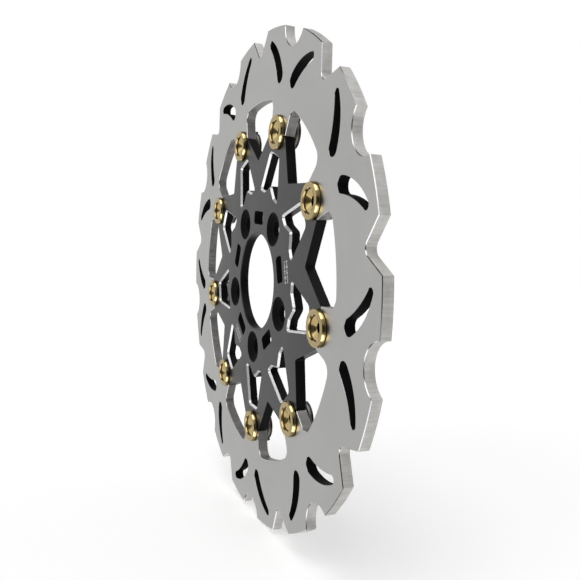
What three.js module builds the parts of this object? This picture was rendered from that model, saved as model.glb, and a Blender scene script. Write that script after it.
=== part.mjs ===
// Floating brake disc rotor for a motorcycle front wheel.
// Millimetres, +Z up. The disc stands upright on its own axis, which is the Y axis:
// its front (outboard) face looks toward -Y and the wheel hub side toward +Y.
// The origin is on that axis, in the plane of the carrier's hub mounting face.
//
// Every flat piece is described in the disc plane as seen from the front: u runs
// along +X and v along +Z. Angles are measured from +X toward +Z.

import * as THREE from 'three';
import { mergeVertices } from 'three/addons/utils/BufferGeometryUtils.js';

const DEG = Math.PI / 180;

// ---------------------------------------------------------------- driving dimensions
const STATIONS = 9;
const STATION_ANGLE = 26;          // angle of the first bobbin
const STATION_STEP = 360 / STATIONS;
const STATION_RADIUS = 90.8;       // circle the bobbins sit on
const BOLTS = 5;
const BOLT_ANGLE = 46;             // angle of the first bolt hole
const BOLT_RADIUS = 41.275;        // 3.25 inch bolt circle
const POCKET_ANGLE = 10;           // first lightening pocket between the bolt holes
const POCKET_RADIUS = 38.8;

const CARRIER_BACK = 0;
const CARRIER_FRONT = -5.7;
const RING_BACK = -0.1;
const RING_FRONT = -5.85;

const RING_RADIUS = 146.05;        // 11.5 inch disc
const RING_EDGE = 0.35;            // broken edge on the rim
const RING_EDGE_INNER = 0.3;
const SCALLOP_BOTTOM = 136.1;      // round notch in line with every bobbin
const SCALLOP_ARC = 13.1;
const VEE_BOTTOM = 133.7;          // pointed notch midway between bobbins
const VEE_ARC = 4;
const VEE_HALF_ANGLE = 41;
const CUTOUT_RADIUS = 107.1;       // top of the opening between two ears
const CUTOUT_FILLET = 6;
const EAR_HALF_WIDTH = 11;         // at the bobbin centre line
const EAR_ROOT = [12.7, 100.2];    // point on the side of an ear further out

const SLOT_INNER = { centre: [31.7, 116], radius: 4.1 };
const SLOT_OUTER = { centre: [18.1, 135.8], radius: 2.2 };
const SLOT_BOW = 1.9;
const SLOT_TAPER = 1.8;

const BORE_RADIUS = 29.5;
const BORE_EDGE = 0.5;
const SEAT_RADIUS = 9.7;           // mouth of the coned recess round a bolt hole
const SEAT_FLOOR = 6.3;            // its flat floor
const SEAT_DEPTH = 2.3;
const BOLT_HOLE_RADIUS = 4.6;
const POCKET_SIZE = [7.9, 15.1];   // radial, tangential
const POCKET_CORNER = 2;
const ARM_VEE_BOTTOM = 73.4;       // notch between two arms
const ARM_VEE_ARC = 1.5;
const WINDOW_EDGE = 1.1;           // bright chamfer round each window
const WINDOW_CORNERS = [           // right half, [u, v, corner radius]
  [7.3, 79, 3.5],
  [14.7, 53.2, 2],
  [7.2, 54.1, 1.5],
];
const WINDOW_APEX = [0, 59.2, 1.5];

const SEAM = 0.4;                  // half the slit between ear and arm
const SEAT_CLEARANCE = 0.35;       // round the bobbin's shank
const SHANK_RADIUS = 7.6;
const FLANGE_RADIUS = 9.6;
const FLANGE_FRONT = -8.1;
const FLANGE_BACK = -6.15;
const FLANGE_EDGE = { radial: 0.35, axial: 0.9 };
const BOBBIN_BORE = 2.4;
const BOBBIN_MOUTH = 6.6;
const DISH = { radius: 6.1, lip: 0.5, start: 1.3, end: 2.75 };   // depths below the head
const BOBBIN_END = 5.05;
const GROOVE = { from: 3.15, to: 4.45, radius: 6.8 };

const SPRING = { inner: 7.95, outer: 8.9, mid: 0.85, wave: 0.3, thick: 0.4, waves: 3 };
const WASHER = { inner: 7.9, outer: 9.2, from: 1.65, to: 2.95 };
const CLIP = { inner: 7.1, outer: 8.9, lug: 10.3, from: 3.25, to: 4.35, gap: 17, lugSpan: 14 };

// ---------------------------------------------------------------- materials
const material = (name, color, roughness, metalness) =>
  Object.assign(new THREE.MeshStandardMaterial({ color, roughness, metalness }), { name });

const RING_STEEL = material('ring_steel', 0xaeadab, 0.38, 1);
const BLACK_ANODISED = material('black_anodised', 0x2a2a2c, 0.42, 0.6);
const GOLD_ANODISED = material('gold_anodised', 0xbb9c58, 0.26, 1);
const SPRING_STEEL = material('spring_steel', 0x8f8d88, 0.3, 1);
const PLATED_STEEL = material('plated_steel', 0xb4b1ab, 0.28, 1);
const CLIP_STEEL = material('clip_steel', 0x5d5a56, 0.34, 1);

// ---------------------------------------------------------------- plane geometry
/** Points on an arc, both ends included; angles in radians. */
function arc(cu, cv, radius, from, to, steps) {
  const points = [];
  for (let i = 0; i <= steps; i += 1) {
    const a = from + ((to - from) * i) / steps;
    points.push([cu + radius * Math.cos(a), cv + radius * Math.sin(a)]);
  }
  return points;
}

/** Distance along a line from point p in direction d to a circle about the origin. */
function reachCircle(p, d, radius) {
  const b = p[0] * d[0] + p[1] * d[1];
  return -b + Math.sqrt(b * b + radius * radius - p[0] * p[0] - p[1] * p[1]);
}

const turn = ([u, v], angle) => [
  u * Math.cos(angle) - v * Math.sin(angle),
  u * Math.sin(angle) + v * Math.cos(angle),
];

const mirror = (points) => points.map(([u, v]) => [-u, v]).reverse();

/** Circle centred on the origin unless told otherwise, anticlockwise. */
const circle = (radius, steps, cu = 0, cv = 0) =>
  arc(cu, cv, radius, 0, 2 * Math.PI, steps).slice(0, -1);

/** Replaces every corner [u, v, radius] of an anticlockwise polygon by an arc. */
function roundCorners(corners, steps) {
  const points = [];
  corners.forEach(([u, v, radius], i) => {
    const before = corners[(i + corners.length - 1) % corners.length];
    const after = corners[(i + 1) % corners.length];
    const a = new THREE.Vector2(before[0] - u, before[1] - v).normalize();
    const b = new THREE.Vector2(after[0] - u, after[1] - v).normalize();
    const half = Math.acos(a.dot(b)) / 2;
    const middle = a.clone().add(b).normalize().multiplyScalar(radius / Math.sin(half));
    const start = a.multiplyScalar(radius / Math.tan(half)).sub(middle);
    const end = b.multiplyScalar(radius / Math.tan(half)).sub(middle);
    const from = Math.atan2(start.y, start.x);
    const sweep = Math.atan2(start.cross(end), start.dot(end));
    points.push(...arc(u + middle.x, v + middle.y, radius, from, from + sweep, steps));
  });
  return points;
}

/** Copies a half sector (bobbin axis on +v, running clockwise) all round the disc. */
function aroundStations(half) {
  const sector = [...half].reverse().concat(mirror(half).reverse().slice(1));
  const loop = [];
  for (let k = 0; k < STATIONS; k += 1) {
    const angle = (STATION_ANGLE + STATION_STEP * k - 90) * DEG;
    loop.push(...sector.slice(0, -1).map((p) => turn(p, angle)));
  }
  return loop;
}

// ---------------------------------------------------------------- solids
/**
 * Closed wall-and-face body between y planes. The outer loop and the holes are all
 * anticlockwise and carry a wall: rows of [inset, y] from front to back, where the
 * inset moves that row of the loop into the material.
 */
function plate(outer, holes) {
  const loops = [outer, ...holes];
  const positions = [];
  const index = [];
  const front = [];
  const back = [];
  loops.forEach(({ points, wall }, which) => {
    const sign = which === 0 ? 1 : -1;
    const count = points.length;
    const normals = points.map(([u, v], i) => {
      const next = points[(i + 1) % count];
      return new THREE.Vector2(-(next[1] - v), next[0] - u).normalize();
    });
    const start = positions.length / 3;
    wall.forEach(([inset, y], row) => {
      const flat = points.map(([u, v], i) => {
        const n = normals[(i + count - 1) % count].clone().add(normals[i]);
        n.multiplyScalar((2 * sign * inset) / n.lengthSq());
        return new THREE.Vector2(u + n.x, v + n.y);
      });
      flat.forEach((p) => positions.push(p.x, y, p.y));
      const rowStart = start + row * count;
      if (row === 0) front.push({ flat, rowStart });
      if (row === wall.length - 1) back.push({ flat, rowStart });
    });
    for (let row = 0; row < wall.length - 1; row += 1) {
      for (let i = 0; i < count; i += 1) {
        const a = start + row * count + i;
        const b = start + row * count + ((i + 1) % count);
        const quad = [a, a + count, b + count, a, b + count, b];
        index.push(...(which === 0 ? quad : quad.reverse()));
      }
    }
  });
  const cap = (rows, flip) => {
    const [contour, ...inner] = rows.map(({ flat, rowStart }, which) => {
      const entries = flat.map((point, i) => ({ point, at: rowStart + i }));
      return which === 0 ? entries : entries.reverse();
    });
    const order = [contour, ...inner].flat();
    const faces = THREE.ShapeUtils.triangulateShape(
      contour.map((e) => e.point),
      inner.map((loop) => loop.map((e) => e.point)),
    );
    faces.forEach((face) => {
      const corners = face.map((i) => order[i].at);
      index.push(...(flip ? corners.reverse() : corners));
    });
  };
  cap(front, false);
  cap(back, true);
  const geometry = new THREE.BufferGeometry();
  geometry.setAttribute('position', new THREE.Float32BufferAttribute(positions, 3));
  geometry.setIndex(index);
  return geometry;
}

/** Body of revolution about Y from a closed [radius, y] profile. */
function turned(profile, steps) {
  const points = [...profile, profile[0]].map(([r, y]) => new THREE.Vector2(r, y));
  const geometry = new THREE.LatheGeometry(points, steps);
  geometry.deleteAttribute('normal');
  geometry.deleteAttribute('uv');
  return mergeVertices(geometry, 1e-4);
}

function mesh(name, geometry, finish) {
  geometry.computeVertexNormals();
  const result = new THREE.Mesh(geometry, finish);
  result.name = name;
  return result;
}

// ---------------------------------------------------------------- friction ring
/** Rim from the scallop at a bobbin to the vee midway to the next one. */
function rimHalf() {
  const scallopCentre = SCALLOP_BOTTOM + SCALLOP_ARC;
  const rise =
    (scallopCentre ** 2 + SCALLOP_ARC ** 2 - RING_RADIUS ** 2) / (2 * scallopCentre * SCALLOP_ARC);
  const scallopEnd = -Math.asin(rise);
  const scallop = arc(0, scallopCentre, SCALLOP_ARC, -Math.PI / 2, scallopEnd, 6);

  const slope = VEE_HALF_ANGLE * DEG;
  const veeCentre = VEE_BOTTOM + VEE_ARC;
  const bottom = arc(0, veeCentre, VEE_ARC, Math.PI + slope, 1.5 * Math.PI, 2);
  const away = [-Math.sin(slope), Math.cos(slope)];
  const run = reachCircle(bottom[0], away, RING_RADIUS);
  const corner = [bottom[0][0] + away[0] * run, bottom[0][1] + away[1] * run];
  const vee = [corner, ...bottom].map((p) => turn(p, (-STATION_STEP / 2) * DEG));

  const from = Math.atan2(scallop.at(-1)[1], scallop.at(-1)[0]);
  const to = Math.atan2(vee[0][1], vee[0][0]);
  const lobe = arc(0, 0, RING_RADIUS, from, to, 3).slice(1, -1);
  return [...scallop, ...lobe, ...vee];
}

/** Half of an ear that holds a bobbin and half of the opening beside it. */
function earHalf() {
  const hole = SHANK_RADIUS + SEAT_CLEARANCE;
  const lift = Math.asin(SEAM / hole);
  const seat = arc(0, STATION_RADIUS, hole, Math.PI / 2, lift, 5);
  const foot = [EAR_HALF_WIDTH, STATION_RADIUS + SEAM];
  const side = new THREE.Vector2(EAR_ROOT[0] - foot[0], EAR_ROOT[1] - foot[1]).normalize();
  const offset = [foot[0] + side.y * CUTOUT_FILLET, foot[1] - side.x * CUTOUT_FILLET];
  const run = reachCircle(offset, [side.x, side.y], CUTOUT_RADIUS - CUTOUT_FILLET);
  const centre = [offset[0] + side.x * run, offset[1] + side.y * run];
  const from = Math.atan2(side.x, -side.y);
  const to = Math.atan2(centre[1], centre[0]);
  const fillet = arc(centre[0], centre[1], CUTOUT_FILLET, from, to, 4);
  const top = arc(0, 0, CUTOUT_RADIUS, to, (90 - STATION_STEP / 2) * DEG, 3).slice(1);
  return [...seat, foot, ...fillet, ...top];
}

/** Curved, tapering slot: a circle swept along a bowed line while it shrinks. */
function slotOutline() {
  const a = new THREE.Vector2(...SLOT_INNER.centre);
  const b = new THREE.Vector2(...SLOT_OUTER.centre);
  const along = b.clone().sub(a);
  const across = new THREE.Vector2(along.y, -along.x).normalize();
  const steps = 5;
  const station = (t) => ({
    p: a.clone().addScaledVector(along, t).addScaledVector(across, 4 * SLOT_BOW * t * (1 - t)),
    d: along.clone().addScaledVector(across, 4 * SLOT_BOW * (1 - 2 * t)).normalize(),
    r: SLOT_INNER.radius + (SLOT_OUTER.radius - SLOT_INNER.radius) * t ** SLOT_TAPER,
  });
  const right = [];
  const left = [];
  for (let i = 0; i <= steps; i += 1) {
    const { p, d, r } = station(i / steps);
    right.push([p.x + d.y * r, p.y - d.x * r]);
    left.unshift([p.x - d.y * r, p.y + d.x * r]);
  }
  const end = station(1);
  const heading = Math.atan2(end.d.y, end.d.x);
  const tip = arc(end.p.x, end.p.y, end.r, heading - Math.PI / 2, heading + Math.PI / 2, 3);
  const start = station(0);
  const tail = Math.atan2(start.d.y, start.d.x);
  const root = arc(start.p.x, start.p.y, start.r, tail + Math.PI / 2, tail + 1.5 * Math.PI, 5);
  return [...right, ...tip.slice(1, -1), ...left, ...root.slice(1, -1)];
}

function rotorRing() {
  const straight = [[0, RING_FRONT], [0, RING_BACK]];
  const broken = (edge) => [
    [edge, RING_FRONT],
    [0, RING_FRONT + edge],
    [0, RING_BACK - edge],
    [edge, RING_BACK],
  ];
  const holes = [{ points: aroundStations(earHalf()), wall: broken(RING_EDGE_INNER) }];
  const slot = slotOutline();
  for (let k = 0; k < STATIONS; k += 1) {
    const middle = (STATION_ANGLE + STATION_STEP * (k + 0.5) - 90) * DEG;
    [slot, mirror(slot)].forEach((outline) => {
      holes.push({ points: outline.map((p) => turn(p, middle)), wall: straight });
    });
  }
  return plate({ points: aroundStations(rimHalf()), wall: broken(RING_EDGE) }, holes);
}

// ---------------------------------------------------------------- carrier
/** Half of an arm end under a bobbin and the side of the notch beside it. */
function armHalf() {
  const hole = SHANK_RADIUS + SEAT_CLEARANCE;
  const drop = Math.asin(SEAM / hole);
  const seat = arc(0, STATION_RADIUS, hole, -Math.PI / 2, -drop, 5);
  const shoulder = [EAR_HALF_WIDTH, STATION_RADIUS - SEAM];
  const middle = (STATION_STEP / 2) * DEG;
  const [cu, cv] = turn(shoulder, middle);
  const centre = ARM_VEE_BOTTOM + ARM_VEE_ARC;
  const reach = Math.hypot(cu, cv - centre);
  const lean = Math.atan2(cv - centre, -cu) + Math.asin(ARM_VEE_ARC / reach);
  const bottom = arc(0, centre, ARM_VEE_ARC, 1.5 * Math.PI - lean, 1.5 * Math.PI, 2);
  return [...seat, shoulder, ...bottom.map((p) => turn(p, -middle))];
}

function windowOutline() {
  const left = [...WINDOW_CORNERS].map(([u, v, r]) => [-u, v, r]);
  const right = [...WINDOW_CORNERS].reverse();
  return roundCorners([...left, WINDOW_APEX, ...right], 3);
}

function pocketOutline() {
  const [radial, tangential] = POCKET_SIZE;
  const corners = [[1, -1], [1, 1], [-1, 1], [-1, -1]];
  return roundCorners(
    corners.map(([s, t]) => [
      POCKET_RADIUS + (s * radial) / 2,
      (t * tangential) / 2,
      POCKET_CORNER,
    ]),
    3,
  );
}

function carrier() {
  const straight = [[0, CARRIER_FRONT], [0, CARRIER_BACK]];
  const holes = [];
  holes.push({
    points: circle(BORE_RADIUS, 48),
    wall: [
      [BORE_EDGE, CARRIER_FRONT],
      [0, CARRIER_FRONT + BORE_EDGE],
      [0, CARRIER_BACK - BORE_EDGE],
      [BORE_EDGE, CARRIER_BACK],
    ],
  });
  const opening = windowOutline();
  for (let k = 0; k < STATIONS; k += 1) {
    const angle = (STATION_ANGLE + STATION_STEP * k - 90) * DEG;
    holes.push({
      points: opening.map((p) => turn(p, angle)),
      wall: [
        [0, CARRIER_FRONT],
        [-WINDOW_EDGE, CARRIER_FRONT + WINDOW_EDGE],
        [-WINDOW_EDGE, CARRIER_BACK],
      ],
    });
  }
  const step = 360 / BOLTS;
  const mouth = SEAT_RADIUS - BOLT_HOLE_RADIUS;
  const floor = SEAT_FLOOR - BOLT_HOLE_RADIUS;
  for (let k = 0; k < BOLTS; k += 1) {
    const bolt = (BOLT_ANGLE + step * k) * DEG;
    const centre = [BOLT_RADIUS * Math.cos(bolt), BOLT_RADIUS * Math.sin(bolt)];
    holes.push({
      points: circle(BOLT_HOLE_RADIUS, 20, ...centre),
      wall: [
        [mouth, CARRIER_FRONT],
        [floor, CARRIER_FRONT + SEAT_DEPTH],
        [0, CARRIER_FRONT + SEAT_DEPTH],
        [0, CARRIER_BACK],
      ],
    });
    const pocket = (POCKET_ANGLE + step * k) * DEG;
    holes.push({ points: pocketOutline().map((p) => turn(p, pocket)), wall: straight });
  }
  return plate({ points: aroundStations(armHalf()), wall: straight }, holes);
}

// ---------------------------------------------------------------- bobbins and hardware
function bobbin() {
  return turned(
    [
      [BOBBIN_BORE, FLANGE_FRONT + DISH.end],
      [DISH.radius, FLANGE_FRONT + DISH.start],
      [DISH.radius, FLANGE_FRONT + DISH.lip],
      [BOBBIN_MOUTH, FLANGE_FRONT],
      [FLANGE_RADIUS - FLANGE_EDGE.radial, FLANGE_FRONT],
      [FLANGE_RADIUS, FLANGE_FRONT + FLANGE_EDGE.axial],
      [FLANGE_RADIUS, FLANGE_BACK],
      [SHANK_RADIUS, FLANGE_BACK],
      [SHANK_RADIUS, GROOVE.from],
      [GROOVE.radius, GROOVE.from],
      [GROOVE.radius, GROOVE.to],
      [SHANK_RADIUS, GROOVE.to],
      [SHANK_RADIUS, BOBBIN_END],
      [BOBBIN_BORE, BOBBIN_END],
    ],
    18,
  );
}

/** Thin steel ring bent into even waves. */
function waveSpring() {
  const { inner, outer, mid, wave, thick, waves } = SPRING;
  const steps = waves * 7;
  const positions = [];
  const index = [];
  for (let i = 0; i < steps; i += 1) {
    const a = (2 * Math.PI * i) / steps;
    const y = mid + wave * Math.sin(waves * a);
    [[inner, y + thick / 2], [inner, y - thick / 2], [outer, y - thick / 2], [outer, y + thick / 2]]
      .forEach(([r, h]) => positions.push(r * Math.cos(a), h, r * Math.sin(a)));
    const here = 4 * i;
    const next = 4 * ((i + 1) % steps);
    for (let e = 0; e < 4; e += 1) {
      const f = (e + 1) % 4;
      index.push(here + e, here + f, next + f, here + e, next + f, next + e);
    }
  }
  const geometry = new THREE.BufferGeometry();
  geometry.setAttribute('position', new THREE.Float32BufferAttribute(positions, 3));
  geometry.setIndex(index);
  return geometry;
}

const washer = () =>
  turned(
    [
      [WASHER.inner, WASHER.from],
      [WASHER.outer, WASHER.from],
      [WASHER.outer, WASHER.to],
      [WASHER.inner, WASHER.to],
    ],
    18,
  );

/** Open retaining ring with a lug at either side of its gap; the gap is on +v. */
function clipOutline() {
  const start = (90 + CLIP.gap) * DEG;
  const lug = start + CLIP.lugSpan * DEG;
  const end = (450 - CLIP.gap) * DEG;
  const lugEnd = end - CLIP.lugSpan * DEG;
  return [
    ...arc(0, 0, CLIP.lug, start, lug, 1),
    ...arc(0, 0, CLIP.outer, lug, lugEnd, 12),
    ...arc(0, 0, CLIP.lug, lugEnd, end, 1),
    ...arc(0, 0, CLIP.inner, end, start, 12),
  ];
}

const circlip = () =>
  plate({ points: clipOutline(), wall: [[0, CLIP.from], [0, CLIP.to]] }, []);

// ---------------------------------------------------------------- assembly
/** A bobbin with its spring, washer and retaining ring, drawn about the Y axis. */
function bobbinStation(k) {
  const station = new THREE.Group();
  const angle = (STATION_ANGLE + STATION_STEP * k) * DEG;
  station.position.set(STATION_RADIUS * Math.cos(angle), 0, STATION_RADIUS * Math.sin(angle));
  station.rotation.y = Math.PI / 2 - angle;
  station.add(
    mesh(`bobbin_${k + 1}`, bobbin(), GOLD_ANODISED),
    mesh(`wave_spring_${k + 1}`, waveSpring(), SPRING_STEEL),
    mesh(`washer_${k + 1}`, washer(), PLATED_STEEL),
    mesh(`circlip_${k + 1}`, circlip(), CLIP_STEEL),
  );
  return station;
}

const assembly = new THREE.Group();
assembly.name = 'floating_brake_disc';
assembly.add(mesh('rotor_ring', rotorRing(), RING_STEEL));
assembly.add(mesh('carrier', carrier(), BLACK_ANODISED));
for (let k = 0; k < STATIONS; k += 1) assembly.add(bobbinStation(k));

export default assembly;
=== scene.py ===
# Looks of the floating brake disc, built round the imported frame.
# Metres, +Z up. The disc stands upright about the Y axis, its front toward -Y.
import math

import bpy
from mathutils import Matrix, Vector
from mathutils.geometry import tessellate_polygon


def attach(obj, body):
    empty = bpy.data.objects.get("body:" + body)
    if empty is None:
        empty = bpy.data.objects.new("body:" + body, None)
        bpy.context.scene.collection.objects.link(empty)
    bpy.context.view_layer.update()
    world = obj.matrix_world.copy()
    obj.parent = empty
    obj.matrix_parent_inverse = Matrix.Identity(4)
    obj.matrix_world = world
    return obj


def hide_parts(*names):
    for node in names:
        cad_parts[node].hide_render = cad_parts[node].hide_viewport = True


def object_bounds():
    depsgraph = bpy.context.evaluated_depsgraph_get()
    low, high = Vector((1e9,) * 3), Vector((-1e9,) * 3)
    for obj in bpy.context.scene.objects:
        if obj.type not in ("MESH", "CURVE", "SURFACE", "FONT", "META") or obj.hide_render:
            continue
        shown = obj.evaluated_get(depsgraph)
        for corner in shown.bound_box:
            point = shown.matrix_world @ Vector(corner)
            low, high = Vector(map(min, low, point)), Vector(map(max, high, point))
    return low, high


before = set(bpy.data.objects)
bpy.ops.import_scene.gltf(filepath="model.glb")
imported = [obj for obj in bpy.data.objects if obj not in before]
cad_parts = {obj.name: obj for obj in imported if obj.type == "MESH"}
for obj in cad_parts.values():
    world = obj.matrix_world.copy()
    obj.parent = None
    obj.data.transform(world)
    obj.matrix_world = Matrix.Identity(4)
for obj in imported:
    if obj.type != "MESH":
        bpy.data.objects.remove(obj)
cad_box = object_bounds()

MM = 0.001
DEG = math.pi / 180

# ------------------------------------------------------------------ dimensions, mm
STATIONS = 9
STATION_ANGLE = 26
STATION_STEP = 360 / STATIONS
STATION_RADIUS = 90.8
BOLTS = 5
BOLT_ANGLE = 46
BOLT_RADIUS = 41.275
POCKET_ANGLE = 10
POCKET_RADIUS = 38.8

CARRIER_BACK = 0.0
CARRIER_FRONT = -5.7
RING_BACK = -0.1
RING_FRONT = -5.85

RING_RADIUS = 146.05
RING_EDGE = 0.35
SCALLOP_BOTTOM = 136.1
SCALLOP_ARC = 13.1
VEE_BOTTOM = 133.7
VEE_ARC = 4.0
VEE_HALF_ANGLE = 41 * DEG
CUTOUT_RADIUS = 107.1
CUTOUT_FILLET = 6.0
EAR_HALF_WIDTH = 11.0
EAR_ROOT = (12.7, 100.2)

SLOT_INNER = ((31.7, 116.0), 4.1)    # centre and radius of each end
SLOT_OUTER = ((18.1, 135.8), 2.2)
SLOT_BOW = 1.9
SLOT_TAPER = 1.8

BORE_RADIUS = 29.5
SEAT_RADIUS = 9.7
SEAT_FLOOR = 6.3
SEAT_DEPTH = 2.3
BOLT_HOLE_RADIUS = 4.6
POCKET_SIZE = (7.9, 15.1)
POCKET_CORNER = 2.0
ARM_VEE_BOTTOM = 73.4
ARM_VEE_ARC = 1.5
WINDOW_EDGE = 1.1
# a window's right half: u, v, corner radius
WINDOW_CORNERS = ((7.3, 79.0, 3.5), (14.7, 53.2, 2.0), (7.2, 54.1, 1.5))
WINDOW_APEX = (0.0, 59.2, 1.5)

SEAM = 0.4
SEAT_CLEARANCE = 0.35
SHANK_RADIUS = 7.6
FLANGE_RADIUS = 9.6
FLANGE_FRONT = -8.1
FLANGE_BACK = -6.15
FLANGE_EDGE = (0.35, 0.9)      # radial, axial
BOBBIN_BORE = 2.4
BOBBIN_MOUTH = 6.6
DISH_TOP = (6.1, 0.5)          # radius of its wall, depth of the lip above it
DISH_START = 1.3               # depth below the head
DISH_END = 2.75                # depth below the head
BOBBIN_END = 5.05
BOBBIN_END_EDGE = 0.3
GROOVE = (3.15, 4.45, 6.8)     # from, to, radius

SPRING_RADII = (7.95, 8.9)
SPRING_MID = 0.85
SPRING_WAVE = 0.3
SPRING_WAVES = 3
SPRING_THICK = 0.4
WASHER_RADII = (7.9, 9.2)
WASHER_SPAN = (1.65, 2.95)
CLIP_RADII = (7.1, 8.9, 10.3)  # inner, outer, lug
CLIP_SPAN = (3.25, 4.35)
CLIP_GAP = 17                  # half of it, degrees
CLIP_LUG = 14                  # degrees
CLIP_EYE = (9.1, 0.55)         # distance from the axis, radius

# how far each kind of edge is broken
EAR_EDGE = 0.2
FINE_EDGE = 0.12
BORE_EDGE = 0.5
BOLT_HOLE_EDGE = 0.25
FLANGE_BACK_EDGE = 0.2
SPRING_EDGE = 0.05
WASHER_EDGE = 0.18
CLIP_EDGE = 0.1
CLIP_EYE_EDGE = 0.06

# generic etched dashes on the carrier
MARK_ANGLES = (7.2, 227.0)
MARK_RADII = (46.9, 50.0)
MARK_WIDTHS = (2, 1, 1, 3, 1, 2, 2, 1, 3, 1, 1, 2)    # in units
MARK_UNIT = 0.38
MARK_GAP = 0.42
MARK_START = -7.0
MARK_HALF_HEIGHTS = (0.55, 0.95)
MARK_LIFT = 0.02

# an edge that turns more than this is drawn sharp, degrees
SHARP_ANGLE = 24
SPRING_SHARP_ANGLE = 40


# ------------------------------------------------------------------ plane geometry
def arc(cu, cv, radius, start, end, steps):
    points = []
    for i in range(steps + 1):
        a = start + (end - start) * i / steps
        points.append((cu + radius * math.cos(a), cv + radius * math.sin(a)))
    return points


def circle(radius, steps, cu=0.0, cv=0.0):
    return arc(cu, cv, radius, 0, 2 * math.pi, steps)[:-1]


def turn(p, angle):
    c, s = math.cos(angle), math.sin(angle)
    return (p[0] * c - p[1] * s, p[0] * s + p[1] * c)


def mirror(points):
    return [(-u, v) for u, v in reversed(points)]


def reach_circle(p, d, radius):
    """Distance from p along d to a circle about the origin."""
    b = p[0] * d[0] + p[1] * d[1]
    return -b + math.sqrt(b * b + radius * radius - p[0] * p[0] - p[1] * p[1])


def round_corners(corners, steps):
    points = []
    for i, (u, v, radius) in enumerate(corners):
        before = corners[i - 1]
        after = corners[(i + 1) % len(corners)]
        a = Vector((before[0] - u, before[1] - v)).normalized()
        b = Vector((after[0] - u, after[1] - v)).normalized()
        half = math.acos(a.dot(b)) / 2
        middle = (a + b).normalized() * (radius / math.sin(half))
        start = a * (radius / math.tan(half)) - middle
        end = b * (radius / math.tan(half)) - middle
        begin = math.atan2(start.y, start.x)
        sweep = math.atan2(start.x * end.y - start.y * end.x, start.dot(end))
        points += arc(u + middle.x, v + middle.y, radius, begin, begin + sweep, steps)
    return points


def around_stations(half):
    """Half a sector, from a bobbin axis clockwise, mirrored and repeated round the disc."""
    sector = list(reversed(half)) + [(-u, v) for u, v in half[1:]]
    loop = []
    for k in range(STATIONS):
        angle = (STATION_ANGLE + STATION_STEP * k - 90) * DEG
        loop += [turn(p, angle) for p in sector[:-1]]
    return loop


def signed_area(points):
    total = 0.0
    for i, (u, v) in enumerate(points):
        w, z = points[(i + 1) % len(points)]
        total += u * z - w * v
    return total / 2


# ------------------------------------------------------------------ mesh builders
def make_object(name, verts, faces, slots, materials, sharp=SHARP_ANGLE):
    mesh = bpy.data.meshes.new(name)
    mesh.from_pydata([(x * MM, y * MM, z * MM) for x, y, z in verts], [], faces)
    for material in materials:
        mesh.materials.append(material)
    for polygon, slot in zip(mesh.polygons, slots):
        polygon.material_index = slot
    mesh.validate()
    mesh.shade_smooth()
    mesh.set_sharp_from_angle(angle=sharp * DEG)
    obj = bpy.data.objects.new(name, mesh)
    bpy.context.scene.collection.objects.link(obj)
    return obj


def plate(name, outer, holes, materials):
    """Closed plate between y planes. A loop is (points, wall rows, slot of each band);
    a wall row is (inset into the material, y), front first. Loops run anticlockwise."""
    verts, faces, slots = [], [], []
    fronts, backs = [], []
    for which, (points, wall, bands) in enumerate([outer] + holes):
        sign = 1 if which == 0 else -1
        count = len(points)
        normals = []
        for i, (u, v) in enumerate(points):
            w, z = points[(i + 1) % count]
            normals.append(Vector((v - z, w - u)).normalized())
        first = len(verts)
        for row, (inset, y) in enumerate(wall):
            flat = []
            for i, (u, v) in enumerate(points):
                n = normals[i - 1] + normals[i]
                n = n * (2 * sign * inset / n.length_squared)
                flat.append((u + n.x, v + n.y))
            verts += [(u, y, v) for u, v in flat]
            if row == 0:
                fronts.append((flat, first))
            if row == len(wall) - 1:
                backs.append((flat, first + row * count))
        for row in range(len(wall) - 1):
            for i in range(count):
                a = first + row * count + i
                b = first + row * count + (i + 1) % count
                quad = (a, a + count, b + count, b)
                faces.append(quad if which == 0 else quad[::-1])
                slots.append(bands[row])
    for loops, facing in ((fronts, 1), (backs, -1)):
        lines = [[Vector((u, v, 0)) for u, v in flat] for flat, _ in loops]
        index = [start + i for flat, start in loops for i in range(len(flat))]
        spots = [p for flat, _ in loops for p in flat]
        for tri in tessellate_polygon(lines):
            area = signed_area([spots[i] for i in tri])
            if abs(area) < 1e-9:
                continue
            corners = [index[i] for i in tri]
            faces.append(corners if area * facing > 0 else corners[::-1])
            slots.append(0)
    return make_object(name, verts, faces, slots, materials)


def turned(name, profile, steps, materials):
    """Body of revolution about Y; profile points are (radius, y, slot of the band after it)."""
    verts, faces, slots = [], [], []
    for r, y, _ in profile:
        for i in range(steps):
            a = 2 * math.pi * i / steps
            verts.append((r * math.sin(a), y, r * math.cos(a)))
    rows = len(profile)
    for row in range(rows):
        after = (row + 1) % rows
        for i in range(steps):
            j = (i + 1) % steps
            faces.append((row * steps + i, row * steps + j, after * steps + j, after * steps + i))
            slots.append(profile[row][2])
    return make_object(name, verts, faces, slots, materials)


# ------------------------------------------------------------------ material helpers
NOISE_LOW, NOISE_HIGH = 0.3, 0.7


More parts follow.
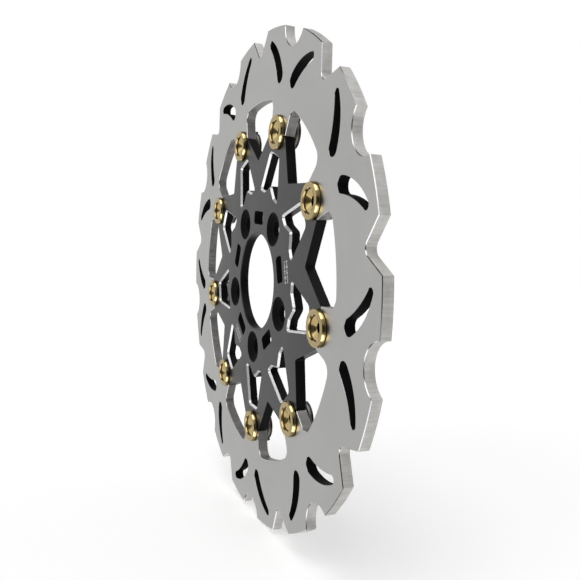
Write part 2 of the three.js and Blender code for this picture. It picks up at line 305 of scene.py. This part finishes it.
class Nodes:
    """Short calls for building a shader tree."""

    def __init__(self, name):
        self.material = bpy.data.materials.new(name)
        self.material.use_nodes = True
        self.tree = self.material.node_tree
        self.shader = self.tree.nodes["Principled BSDF"]

    def add(self, kind, inputs=(), **settings):
        node = self.tree.nodes.new(kind)
        for key, value in settings.items():
            setattr(node, key, value)
        for key, value in dict(inputs).items():
            self.feed(node.inputs[key], value)
        return node

    def feed(self, socket, value):
        if isinstance(value, bpy.types.NodeSocket):
            self.tree.links.new(value, socket)
        else:
            socket.default_value = value

    def math(self, operation, a, b):
        node = self.add("ShaderNodeMath", operation=operation)
        self.feed(node.inputs[0], a)
        self.feed(node.inputs[1], b)
        return node.outputs[0]

    def spread(self, noise, low, high):
        """Maps the range that a noise really fills to low and high."""
        node = self.add("ShaderNodeMapRange", {
            "Value": noise, "From Min": NOISE_LOW, "From Max": NOISE_HIGH,
            "To Min": low, "To Max": high})
        return node.outputs["Result"]

    def mix(self, factor, a, b):
        node = self.add("ShaderNodeMix", data_type="RGBA")
        self.feed(node.inputs[0], factor)
        self.feed(node.inputs[6], a)
        self.feed(node.inputs[7], b)
        return node.outputs[2]

    def place(self):
        return self.add("ShaderNodeTexCoord").outputs["Object"]

    def stretched(self, scale):
        """Object coordinates with a different scale along each axis."""
        node = self.add("ShaderNodeVectorMath", {0: self.place(), 1: scale}, operation="MULTIPLY")
        return node.outputs[0]

    def noise(self, vector, scale, detail=3.0, roughness=0.5):
        node = self.add("ShaderNodeTexNoise", {
            "Vector": vector, "Scale": scale, "Detail": detail, "Roughness": roughness})
        return node.outputs["Fac"]

    def around_axis(self, radial, circular, across=0.0):
        """Coordinates for marks that run round the Y axis: no seam anywhere."""
        spot = self.add("ShaderNodeSeparateXYZ", {"Vector": self.place()})
        flat = self.add("ShaderNodeCombineXYZ", {"X": spot.outputs["X"], "Y": spot.outputs["Z"]})
        length = self.add("ShaderNodeVectorMath", {0: flat.outputs[0]}, operation="LENGTH")
        unit = self.add("ShaderNodeVectorMath", {0: flat.outputs[0]}, operation="NORMALIZE")
        way = self.add("ShaderNodeSeparateXYZ", {"Vector": unit.outputs[0]})
        depth = self.math("MULTIPLY", spot.outputs["Y"], across)
        lengthways = self.math("MULTIPLY", length.outputs["Value"], radial)
        joined = self.add("ShaderNodeCombineXYZ", {
            "X": self.math("ADD", lengthways, depth),
            "Y": self.math("MULTIPLY", way.outputs["X"], circular),
            "Z": self.math("MULTIPLY", way.outputs["Y"], circular)})
        return joined.outputs[0]

    def bump(self, height, strength, distance):
        node = self.add("ShaderNodeBump", {
            "Strength": strength, "Distance": distance, "Height": height})
        self.feed(self.shader.inputs["Normal"], node.outputs[0])

    def base(self, **values):
        for key, value in values.items():
            self.feed(self.shader.inputs[key.replace("_", " ")], value)


def ring_face():
    n = Nodes("ring_steel_face")
    n.base(Metallic=1.0)
    grind = n.noise(n.around_axis(2600.0, 9.0), 1.0, 4.0, 0.6)
    broad = n.noise(n.around_axis(160.0, 2.0), 1.0, 2.0)
    cloud = n.noise(n.place(), 22.0, 2.0)
    fine = n.spread(grind, 0.27, 0.36)
    n.base(Roughness=n.math("ADD", fine, n.spread(broad, -0.02, 0.02)))
    tone = n.math("ADD", n.spread(cloud, 0.0, 0.5), n.spread(grind, 0.0, 0.5))
    n.base(Base_Color=n.mix(tone, (0.50, 0.497, 0.485, 1), (0.56, 0.557, 0.545, 1)))
    n.bump(grind, 0.10, 0.00003)
    return n.material


def ring_wall(name, low, high, smooth):
    """Milled or laser-cut side of the ring, with fine marks through its thickness."""
    n = Nodes(name)
    marks = n.noise(n.stretched((900.0, 60.0, 900.0)), 1.0, 3.0, 0.6)
    cloud = n.noise(n.place(), 130.0, 3.0)
    tone = n.math("ADD", n.spread(marks, 0.0, 0.5), n.spread(cloud, 0.0, 0.5))
    n.base(Metallic=0.35)
    n.base(Base_Color=n.mix(tone, low, high))
    n.base(Roughness=n.spread(marks, smooth, smooth + 0.14))
    n.bump(marks, 0.16, 0.00003)
    return n.material


def ring_edge():
    n = Nodes("ring_broken_edge")
    wear = n.noise(n.place(), 420.0, 3.0)
    n.base(Metallic=1.0)
    n.base(Base_Color=n.mix(wear, (0.66, 0.66, 0.68, 1), (0.86, 0.86, 0.88, 1)))
    n.base(Roughness=n.spread(wear, 0.10, 0.22))
    return n.material


def black_anodised():
    n = Nodes("black_anodised")
    cloud = n.noise(n.place(), 60.0, 3.0)
    grain = n.noise(n.place(), 5200.0, 2.0)
    n.base(Base_Color=n.mix(cloud, (0.010, 0.010, 0.011, 1), (0.017, 0.017, 0.018, 1)))
    n.base(Roughness=n.math("ADD", n.spread(cloud, 0.27, 0.34), n.spread(grain, -0.02, 0.02)))
    n.base(IOR=1.5)
    n.bump(grain, 0.12, 0.00002)
    return n.material


# Darker copies of the black anodising for walls and holes: painted shade.
def black_shade_wall(name, ior, smooth):
    n = Nodes(name)
    cloud = n.noise(n.place(), 90.0, 3.0)
    n.base(Base_Color=n.mix(cloud, (0.004, 0.004, 0.005, 1), (0.008, 0.008, 0.009, 1)))
    n.base(Roughness=n.spread(cloud, smooth, smooth + 0.1))
    n.base(IOR=ior)
    return n.material


def bright_cut():
    n = Nodes("bright_cut_aluminium")
    lines = n.noise(n.stretched((300.0, 5000.0, 300.0)), 1.0, 3.0)
    n.base(Metallic=0.7)
    n.base(Base_Color=n.mix(lines, (0.90, 0.90, 0.92, 1), (0.97, 0.97, 0.98, 1)))
    n.base(Roughness=n.spread(lines, 0.26, 0.36))
    n.bump(lines, 0.05, 0.00002)
    return n.material


def gold_polished():
    n = Nodes("gold_polished")
    rings = n.noise(n.around_axis(3500.0, 1.5, 3500.0), 1.0, 2.0)
    n.base(Metallic=1.0)
    n.base(Base_Color=n.mix(rings, (0.58, 0.44, 0.18, 1), (0.70, 0.55, 0.26, 1)))
    n.base(Roughness=n.spread(rings, 0.08, 0.15))
    n.bump(rings, 0.08, 0.00002)
    return n.material


def gold_face():
    n = Nodes("gold_turned_face")
    rings = n.noise(n.around_axis(5200.0, 1.2), 1.0, 2.0)
    cloud = n.noise(n.place(), 350.0, 2.0)
    n.base(Metallic=1.0)
    n.base(Base_Color=n.mix(cloud, (0.50, 0.39, 0.19, 1), (0.58, 0.46, 0.24, 1)))
    n.base(Roughness=n.spread(rings, 0.28, 0.40))
    n.bump(rings, 0.16, 0.00003)
    return n.material


# Darkened copies of the gold: painted shade in the bore and on the dish wall.
def gold_painted_shade(name, low, high, smooth):
    n = Nodes(name)
    cloud = n.noise(n.place(), 500.0, 3.0)
    n.base(Metallic=0.8)
    n.base(Base_Color=n.mix(cloud, low, high))
    n.base(Roughness=n.spread(cloud, smooth, smooth + 0.15))
    return n.material


def hardware_steel(name, low, high, smooth):
    n = Nodes(name)
    rings = n.noise(n.around_axis(2600.0, 2.0, 2600.0), 1.0, 3.0)
    cloud = n.noise(n.place(), 260.0, 3.0)
    n.base(Metallic=1.0)
    n.base(Base_Color=n.mix(cloud, low, high))
    n.base(Roughness=n.spread(rings, smooth, smooth + 0.12))
    n.bump(rings, 0.10, 0.00002)
    return n.material


def laser_mark():
    n = Nodes("laser_mark")
    specks = n.noise(n.place(), 4200.0, 2.0)
    n.base(Base_Color=n.mix(specks, (0.42, 0.42, 0.43, 1), (0.75, 0.75, 0.76, 1)))
    n.base(Roughness=n.spread(specks, 0.55, 0.75))
    return n.material


RING = ring_face()
RING_WALL = ring_wall("ring_milled_wall", (0.56, 0.545, 0.52, 1), (0.86, 0.845, 0.82, 1), 0.46)
# The cut-out walls are the cut finish made darker: painted shade inside the cut-outs.
RING_CUT_PAINTED_SHADE = ring_wall("ring_cut_wall_painted_shade", (0.16, 0.152, 0.147, 1), (0.38, 0.37, 0.36, 1), 0.34)
RING_EDGE_STEEL = ring_edge()
BLACK = black_anodised()
# The carrier's walls are the black anodising made darker than the face: painted shade.
BLACK_WALL_PAINTED_SHADE = black_shade_wall("black_anodised_wall_painted_shade", 1.25, 0.32)
# Near-black, less reflective copy for holes, bolt seats, pockets and the ring's steel slot walls:
# painted shade.
BLACK_HOLE_PAINTED_SHADE = black_shade_wall("black_hole_wall_painted_shade", 1.12, 0.5)
BRIGHT = bright_cut()
GOLD = gold_polished()
GOLD_FACE = gold_face()
# The bore is painted near-black: painted shade deep inside the bobbin.
GOLD_BORE_PAINTED_SHADE = gold_painted_shade(
    "gold_bore_painted_shade", (0.030, 0.022, 0.012, 1), (0.055, 0.040, 0.020, 1), 0.35)
# The dish's inner wall is painted dark brown: painted shade and painted gold-on-gold reflection.
GOLD_DISH_PAINTED_SHADE = gold_painted_shade("gold_dish_wall_painted_shade", (0.11, 0.060, 0.020, 1), (0.20, 0.115, 0.042, 1), 0.22)
SPRING = hardware_steel("spring_steel", (0.22, 0.21, 0.20, 1), (0.34, 0.33, 0.31, 1), 0.28)
PLATED = hardware_steel("plated_steel", (0.34, 0.32, 0.30, 1), (0.46, 0.44, 0.41, 1), 0.30)
CLIP = hardware_steel("clip_steel", (0.10, 0.095, 0.09, 1), (0.16, 0.15, 0.14, 1), 0.24)
MARK = laser_mark()


# ------------------------------------------------------------------ friction ring
def rim_half():
    centre = SCALLOP_BOTTOM + SCALLOP_ARC
    rise = (centre ** 2 + SCALLOP_ARC ** 2 - RING_RADIUS ** 2) / (2 * centre * SCALLOP_ARC)
    scallop = arc(0, centre, SCALLOP_ARC, -math.pi / 2, -math.asin(rise), 26)
    vee_centre = VEE_BOTTOM + VEE_ARC
    bottom = arc(0, vee_centre, VEE_ARC, math.pi + VEE_HALF_ANGLE, 1.5 * math.pi, 12)
    away = (-math.sin(VEE_HALF_ANGLE), math.cos(VEE_HALF_ANGLE))
    run = reach_circle(bottom[0], away, RING_RADIUS)
    corner = (bottom[0][0] + away[0] * run, bottom[0][1] + away[1] * run)
    vee = [turn(p, -STATION_STEP / 2 * DEG) for p in [corner] + bottom]
    start = math.atan2(scallop[-1][1], scallop[-1][0])
    end = math.atan2(vee[0][1], vee[0][0])
    return scallop + arc(0, 0, RING_RADIUS, start, end, 14)[1:-1] + vee


def ear_half():
    hole = SHANK_RADIUS + SEAT_CLEARANCE
    seat = arc(0, STATION_RADIUS, hole, math.pi / 2, math.asin(SEAM / hole), 20)
    foot = (EAR_HALF_WIDTH, STATION_RADIUS + SEAM)
    side = Vector((EAR_ROOT[0] - foot[0], EAR_ROOT[1] - foot[1])).normalized()
    offset = (foot[0] + side.y * CUTOUT_FILLET, foot[1] - side.x * CUTOUT_FILLET)
    run = reach_circle(offset, side, CUTOUT_RADIUS - CUTOUT_FILLET)
    centre = (offset[0] + side.x * run, offset[1] + side.y * run)
    start = math.atan2(side.x, -side.y)
    end = math.atan2(centre[1], centre[0])
    fillet = arc(centre[0], centre[1], CUTOUT_FILLET, start, end, 20)
    top = arc(0, 0, CUTOUT_RADIUS, end, (90 - STATION_STEP / 2) * DEG, 14)[1:]
    return seat + [foot] + fillet + top


def slot_outline():
    (au, av), ar = SLOT_INNER
    (bu, bv), br = SLOT_OUTER
    a, b = Vector((au, av)), Vector((bu, bv))
    along = b - a
    across = Vector((along.y, -along.x)).normalized()
    steps = 24
    right, left = [], []
    for i in range(steps + 1):
        t = i / steps
        p = a + along * t + across * (4 * SLOT_BOW * t * (1 - t))
        d = (along + across * (4 * SLOT_BOW * (1 - 2 * t))).normalized()
        r = ar + (br - ar) * t ** SLOT_TAPER
        right.append((p.x + d.y * r, p.y - d.x * r))
        left.insert(0, (p.x - d.y * r, p.y + d.x * r))
        if i == 0:
            tail = math.atan2(d.y, d.x)
    heading = math.atan2(d.y, d.x)
    tip = arc(b.x, b.y, br, heading - math.pi / 2, heading + math.pi / 2, 14)
    root = arc(a.x, a.y, ar, tail + math.pi / 2, tail + 1.5 * math.pi, 22)
    return right + tip[1:-1] + left + root[1:-1]


def broken(edge, front, back):
    return [(edge, front), (0, front + edge), (0, back - edge), (edge, back)]


def build_ring():
    ear_wall = broken(EAR_EDGE, RING_FRONT, RING_BACK)
    slot_wall = broken(FINE_EDGE, RING_FRONT, RING_BACK)
    # Band 2 of the cut-outs carries painted shade.
    holes = [(around_stations(ear_half()), ear_wall, (3, 2, 0))]
    slot = slot_outline()
    for k in range(STATIONS):
        middle = (STATION_ANGLE + STATION_STEP * (k + 0.5) - 90) * DEG
        for outline in (slot, mirror(slot)):
            points = [turn(p, middle) for p in outline]
            # Band 4 paints the steel slot walls near-black: painted shade.
            holes.append((points, slot_wall, (0, 4, 0)))
    outer = (around_stations(rim_half()), broken(RING_EDGE, RING_FRONT, RING_BACK), (3, 1, 3))
    materials = [RING, RING_WALL, RING_CUT_PAINTED_SHADE, RING_EDGE_STEEL, BLACK_HOLE_PAINTED_SHADE]
    return plate("rotor_ring_look", outer, holes, materials)


# ------------------------------------------------------------------ carrier
def arm_half():
    hole = SHANK_RADIUS + SEAT_CLEARANCE
    seat = arc(0, STATION_RADIUS, hole, -math.pi / 2, -math.asin(SEAM / hole), 20)
    shoulder = (EAR_HALF_WIDTH, STATION_RADIUS - SEAM)
    middle = STATION_STEP / 2 * DEG
    cu, cv = turn(shoulder, middle)
    centre = ARM_VEE_BOTTOM + ARM_VEE_ARC
    lean = math.atan2(cv - centre, -cu) + math.asin(ARM_VEE_ARC / math.hypot(cu, cv - centre))
    bottom = arc(0, centre, ARM_VEE_ARC, 1.5 * math.pi - lean, 1.5 * math.pi, 8)
    return seat + [shoulder] + [turn(p, -middle) for p in bottom]


def build_carrier():
    straight = broken(FINE_EDGE, CARRIER_FRONT, CARRIER_BACK)
    bore = broken(BORE_EDGE, CARRIER_FRONT, CARRIER_BACK)
    # The bore, outer and window walls take the darker black: painted shade.
    holes = [(circle(BORE_RADIUS, 180), bore, (0, 2, 0))]
    left = [(-u, v, r) for u, v, r in WINDOW_CORNERS]
    opening = round_corners([*left, WINDOW_APEX, *reversed(WINDOW_CORNERS)], 10)
    cut = [
        (0, CARRIER_FRONT),
        (-WINDOW_EDGE, CARRIER_FRONT + WINDOW_EDGE),
        (-WINDOW_EDGE, CARRIER_BACK),
    ]
    for k in range(STATIONS):
        angle = (STATION_ANGLE + STATION_STEP * k - 90) * DEG
        holes.append(([turn(p, angle) for p in opening], cut, (1, 2)))
    seat = CARRIER_FRONT + SEAT_DEPTH
    wall = [
        (SEAT_RADIUS - BOLT_HOLE_RADIUS, CARRIER_FRONT),
        (SEAT_FLOOR - BOLT_HOLE_RADIUS, seat),
        (BOLT_HOLE_EDGE, seat),
        (0, seat + BOLT_HOLE_EDGE),
        (0, CARRIER_BACK - BOLT_HOLE_EDGE),
        (BOLT_HOLE_EDGE, CARRIER_BACK),
    ]
    radial, tangential = POCKET_SIZE
    for k in range(BOLTS):
        bolt = (BOLT_ANGLE + 360 / BOLTS * k) * DEG
        centre = (BOLT_RADIUS * math.cos(bolt), BOLT_RADIUS * math.sin(bolt))
        # Bolt seats, bolt holes and pockets take the near-black copy: painted shade.
        holes.append((circle(BOLT_HOLE_RADIUS, 72, *centre), wall, (3, 3, 3, 3, 3)))
        pocket = (POCKET_ANGLE + 360 / BOLTS * k) * DEG
        outline = round_corners([
            (POCKET_RADIUS + s * radial / 2, t * tangential / 2, POCKET_CORNER)
            for s, t in ((1, -1), (1, 1), (-1, 1), (-1, -1))], 12)
        holes.append(([turn(p, pocket) for p in outline], straight, (0, 3, 0)))
    outer = (around_stations(arm_half()), straight, (0, 2, 0))
    return plate("carrier_look", outer, holes, [BLACK, BRIGHT, BLACK_WALL_PAINTED_SHADE, BLACK_HOLE_PAINTED_SHADE])


def build_marks():
    """Generic etched dashes beside two of the pockets."""
    verts, faces = [], []
    y = CARRIER_FRONT - MARK_LIFT
    low, tall = MARK_HALF_HEIGHTS
    for angle in MARK_ANGLES:
        for row, radius in enumerate(MARK_RADII):
            at = MARK_START
            for i, units in enumerate(MARK_WIDTHS if row == 0 else MARK_WIDTHS[::-1]):
                end = at + MARK_UNIT * units
                half = low if (i + row) % 3 else tall
                start = len(verts)
                for t, r in ((at, -half), (end, -half), (end, half), (at, half)):
                    u, v = turn((radius + r, t), angle * DEG)
                    verts.append((u, y, v))
                faces.append(tuple(range(start, start + 4)))
                at = end + MARK_GAP
    return make_object("hub_marks", verts, faces, [0] * len(faces), [MARK])


# ------------------------------------------------------------------ bobbins and hardware
def corner_arc(r, y, radius, start, steps):
    """A rounded profile corner about (r, y) that turns on by a quarter."""
    points = arc(r, y, radius, start * DEG, (start + 90) * DEG, steps)
    return [(*point, 0) for point in points]


def build_bobbin(k):
    """Flanged pin with a dished head, turned from the dish outward and back through the bore."""
    low, high, groove = GROOVE
    radial, axial = FLANGE_EDGE
    lip, drop = DISH_TOP
    head = FLANGE_FRONT
    # Band 3 paints shade on the dish's inner wall, and band 2 paints shade down the bore.
    # the odd tenths round each turned corner over two or three points
    profile = [
        (BOBBIN_BORE, head + DISH_END + 0.12, 0),
        (BOBBIN_BORE + 0.12, head + DISH_END - 0.03, 0),
        (BOBBIN_BORE + 0.25, head + DISH_END - 0.08, 0),
        (lip - 0.2, head + DISH_START + 0.06, 3),
        (lip - 0.08, head + DISH_START, 3),
        (lip, head + DISH_START - 0.12, 3),
        (lip, head + drop + 0.1, 3),
        (lip + 0.04, head + drop, 0),
        (BOBBIN_MOUTH - 0.06, head + 0.1, 0),
        (BOBBIN_MOUTH + 0.05, head, 1),
        (FLANGE_RADIUS - radial - 0.14, head, 0),
        (FLANGE_RADIUS - radial - 0.04, head + 0.04, 0),
        (FLANGE_RADIUS - radial, head + 0.14, 0),
        (FLANGE_RADIUS - 0.03, head + axial - 0.06, 0),
        (FLANGE_RADIUS, head + axial + 0.06, 0),
    ]
    e = FLANGE_BACK_EDGE
    profile += corner_arc(FLANGE_RADIUS - e, FLANGE_BACK - e, e, 0, 4)
    e = BOBBIN_END_EDGE
    profile += [
        (SHANK_RADIUS, FLANGE_BACK, 0),
        (SHANK_RADIUS, low, 0),
        (groove, low, 0),
        (groove, high, 0),
        (SHANK_RADIUS, high, 0),
        (SHANK_RADIUS, BOBBIN_END - e, 0),
        (SHANK_RADIUS - e, BOBBIN_END, 1),
        (BOBBIN_BORE + e, BOBBIN_END, 0),
        (BOBBIN_BORE, BOBBIN_END - e, 2),
    ]
    return turned(f"bobbin_{k}_look", profile, 96, [GOLD, GOLD_FACE, GOLD_BORE_PAINTED_SHADE, GOLD_DISH_PAINTED_SHADE])


def build_washer(k):
    e = WASHER_EDGE
    inner, outer = WASHER_RADII
    front, back = WASHER_SPAN
    profile = [(inner, front + e, 0), (inner + e, front, 0)]
    profile += corner_arc(outer - e, front + e, e, -90, 3)
    profile += corner_arc(outer - e, back - e, e, 0, 3)
    profile += [(inner + e, back, 0), (inner, back - e, 0)]
    return turned(f"washer_{k}_look", profile, 72, [PLATED])


def build_spring(k):
    steps = 120
    inner, outer = SPRING_RADII
    half, e = SPRING_THICK / 2, SPRING_EDGE
    section = ((inner, half - e), (inner + e, half), (outer - e, half), (outer, half - e),
               (outer, e - half), (outer - e, -half), (inner + e, -half), (inner, e - half))
    verts, faces = [], []
    for i in range(steps):
        a = 2 * math.pi * i / steps
        y = SPRING_MID + SPRING_WAVE * math.sin(SPRING_WAVES * a)
        verts += [(r * math.cos(a), y + h, r * math.sin(a)) for r, h in section]
    size = len(section)
    for i in range(steps):
        j = (i + 1) % steps
        for near in range(size):
            far = (near + 1) % size
            faces.append((size * i + near, size * j + near, size * j + far, size * i + far))
    slots = [0] * len(faces)
    return make_object(
        f"wave_spring_{k}_look", verts, faces, slots, [SPRING], SPRING_SHARP_ANGLE)


def build_clip(k):
    inner, outer, tip = CLIP_RADII
    start, end = (90 + CLIP_GAP) * DEG, (450 - CLIP_GAP) * DEG
    lug = CLIP_LUG * DEG
    outline = arc(0, 0, tip, start, start + lug, 4)
    outline += arc(0, 0, outer, start + lug, end - lug, 60)
    outline += arc(0, 0, tip, end - lug, end, 4)
    outline += arc(0, 0, inner, end, start, 60)
    reach, eye = CLIP_EYE
    bands = (0, 0, 0)
    holes = []
    for a in (start + lug / 2, end - lug / 2):
        points = circle(eye, 20, reach * math.cos(a), reach * math.sin(a))
        holes.append((points, broken(CLIP_EYE_EDGE, *CLIP_SPAN), bands))
    outer_loop = (outline, broken(CLIP_EDGE, *CLIP_SPAN), bands)
    return plate(f"circlip_{k}_look", outer_loop, holes, [CLIP])


# ------------------------------------------------------------------ assembly
def adopt(obj, body, node=None):
    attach(obj, body)
    if node:
        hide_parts(node)


adopt(build_ring(), "ring", "rotor_ring")
adopt(build_carrier(), "carrier", "carrier")
adopt(build_marks(), "carrier")
reach = STATION_RADIUS * MM
for k in range(1, STATIONS + 1):
    angle = (STATION_ANGLE + STATION_STEP * (k - 1)) * DEG
    for build, node, slot in (
            (build_bobbin, "bobbin", "gold_anodised"),
            (build_spring, "wave_spring", "spring_steel"),
            (build_washer, "washer", "plated_steel"),
            (build_clip, "circlip", "clip_steel")):
        piece = build(k)
        piece.location = (reach * math.cos(angle), 0, reach * math.sin(angle))
        piece.rotation_euler = (0, math.pi / 2 - angle, 0)
        bpy.context.view_layer.update()
        adopt(piece, f"bobbin_set_{k}", f"{node}_{k}")


# ------------------------------------------------------------------ stage, light and camera
ROOM = 0.42                     # level all round
# direction, degrees to the outer edge, degrees to the even core, strength
SOFT_BOXES = (
    ((-0.94, -0.34, 0.0), 72, 42, 0.52),
    ((0.18, -0.18, 0.93), 26, 13, 3.6),
    ((0.54, -0.28, -0.78), 24, 12, 4.4),
    ((0.14, -0.85, 0.49), 26, 15, 1.5),
    ((-0.02, -0.81, -0.58), 26, 15, 1.5),
    ((-0.10, 0.35, 0.93), 34, 20, 0.22),
    ((-0.45, 0.35, -0.82), 40, 24, 0.35),
    ((-0.46, -0.88, -0.13), 9, 6, 0.50),
    ((-0.49, -0.79, 0.36), 9, 6, 0.50),
    ((0.0, 1.0, 0.0), 75, 40, 0.35),
)
# direction, degrees to the outer edge, degrees to the even core, share taken away
FLAGS = (
    ((0.93, 0.35, 0.10), 36, 20, 0.94),
    ((0.93, -0.35, 0.0), 30, 14, 0.92),
    ((0.36, -0.93, 0.0), 18, 11, 0.94),
    ((-0.33, -0.94, 0.0), 16, 9, 0.90),
    ((0.02, -1.0, 0.0), 15, 9, 0.90),
    ((-0.46, -0.40, 0.80), 24, 13, 0.90),
    ((-0.44, -0.52, -0.74), 20, 10, 0.92),
    ((-0.50, 0.35, 0.80), 30, 16, 0.80),
    ((-0.30, 0.35, -0.88), 30, 16, 0.68),
)
FLOOR_HALF = 6.0                # metres
FLOOR_GAP = 0.0003              # metres below the disc
FLOOR_GLOW = 0.3
CAMERA_PLACE = (0.34868, -0.13181, 0.00277)    # metres
CAMERA_TURN = (88.738 * DEG, 0, 66.853 * DEG)
CAMERA_LENS = 37.364


def studio_world():
    """A white room for the camera, and soft boxes and dark flags for everything else."""
    world = bpy.data.worlds.new("studio")
    world.use_nodes = True
    tree = world.node_tree
    tree.nodes.clear()

    def node(kind, **settings):
        made = tree.nodes.new(kind)
        for key, value in settings.items():
            setattr(made, key, value)
        return made

    def calc(operation, a, b):
        made = node("ShaderNodeMath", operation=operation)
        for socket, value in zip(made.inputs, (a, b)):
            if isinstance(value, bpy.types.NodeSocket):
                tree.links.new(value, socket)
            else:
                socket.default_value = value
        return made.outputs[0]

    spot = node("ShaderNodeTexCoord").outputs["Generated"]

    def toward(direction, edge, core):
        """1 within core degrees of a direction, falling smoothly to 0 at edge degrees."""
        dot = node("ShaderNodeVectorMath", operation="DOT_PRODUCT")
        tree.links.new(spot, dot.inputs[0])
        dot.inputs[1].default_value = Vector(direction).normalized()
        ramp = node("ShaderNodeMapRange", interpolation_type="SMOOTHSTEP")
        tree.links.new(dot.outputs["Value"], ramp.inputs["Value"])
        ramp.inputs["From Min"].default_value = math.cos(edge * DEG)
        ramp.inputs["From Max"].default_value = math.cos(core * DEG)
        return ramp.outputs["Result"]

    level = ROOM
    for direction, edge, core, strength in SOFT_BOXES:
        level = calc("ADD", level, calc("MULTIPLY", toward(direction, edge, core), strength))
    for direction, edge, core, depth in FLAGS:
        shade = calc("MULTIPLY", toward(direction, edge, core), depth)
        level = calc("MULTIPLY", level, calc("SUBTRACT", 1.0, shade))
    background = node("ShaderNodeBackground")
    tree.links.new(level, background.inputs["Strength"])
    white = node("ShaderNodeBackground")
    white.inputs["Strength"].default_value = 1.0
    white.inputs["Color"].default_value = (1, 1, 1, 1)
    choose = node("ShaderNodeMixShader")
    tree.links.new(node("ShaderNodeLightPath").outputs["Is Camera Ray"], choose.inputs[0])
    tree.links.new(background.outputs[0], choose.inputs[1])
    tree.links.new(white.outputs[0], choose.inputs[2])
    tree.links.new(choose.outputs[0], node("ShaderNodeOutputWorld").inputs["Surface"])
    return world


def plain_floor():
    half = FLOOR_HALF
    corners = [(-half, -half, 0), (half, -half, 0), (half, half, 0), (-half, half, 0)]
    mesh = bpy.data.meshes.new("floor")
    mesh.from_pydata(corners, [], [(0, 1, 2, 3)])
    floor = bpy.data.objects.new("floor", mesh)
    floor.location = (0, 0, cad_box[0].z - FLOOR_GAP)
    floor.visible_glossy = False
    n = Nodes("floor_paper")
    n.base(Base_Color=n.mix(n.noise(n.place(), 3.0), (0.92, 0.92, 0.92, 1), (0.94, 0.94, 0.94, 1)))
    n.base(Roughness=0.9, Emission_Color=(1, 1, 1, 1), Emission_Strength=FLOOR_GLOW)
    mesh.materials.append(n.material)
    bpy.context.scene.collection.objects.link(floor)


bpy.context.scene.world = studio_world()
plain_floor()

camera_data = bpy.data.cameras.new("camera")
camera_data.lens = CAMERA_LENS
camera_data.sensor_width = 36
camera_data.clip_start = 0.01
camera = bpy.data.objects.new("camera", camera_data)
camera.location = CAMERA_PLACE
camera.rotation_euler = CAMERA_TURN
bpy.context.scene.collection.objects.link(camera)
bpy.context.scene.camera = camera
bpy.context.scene.view_settings.view_transform = "Standard"
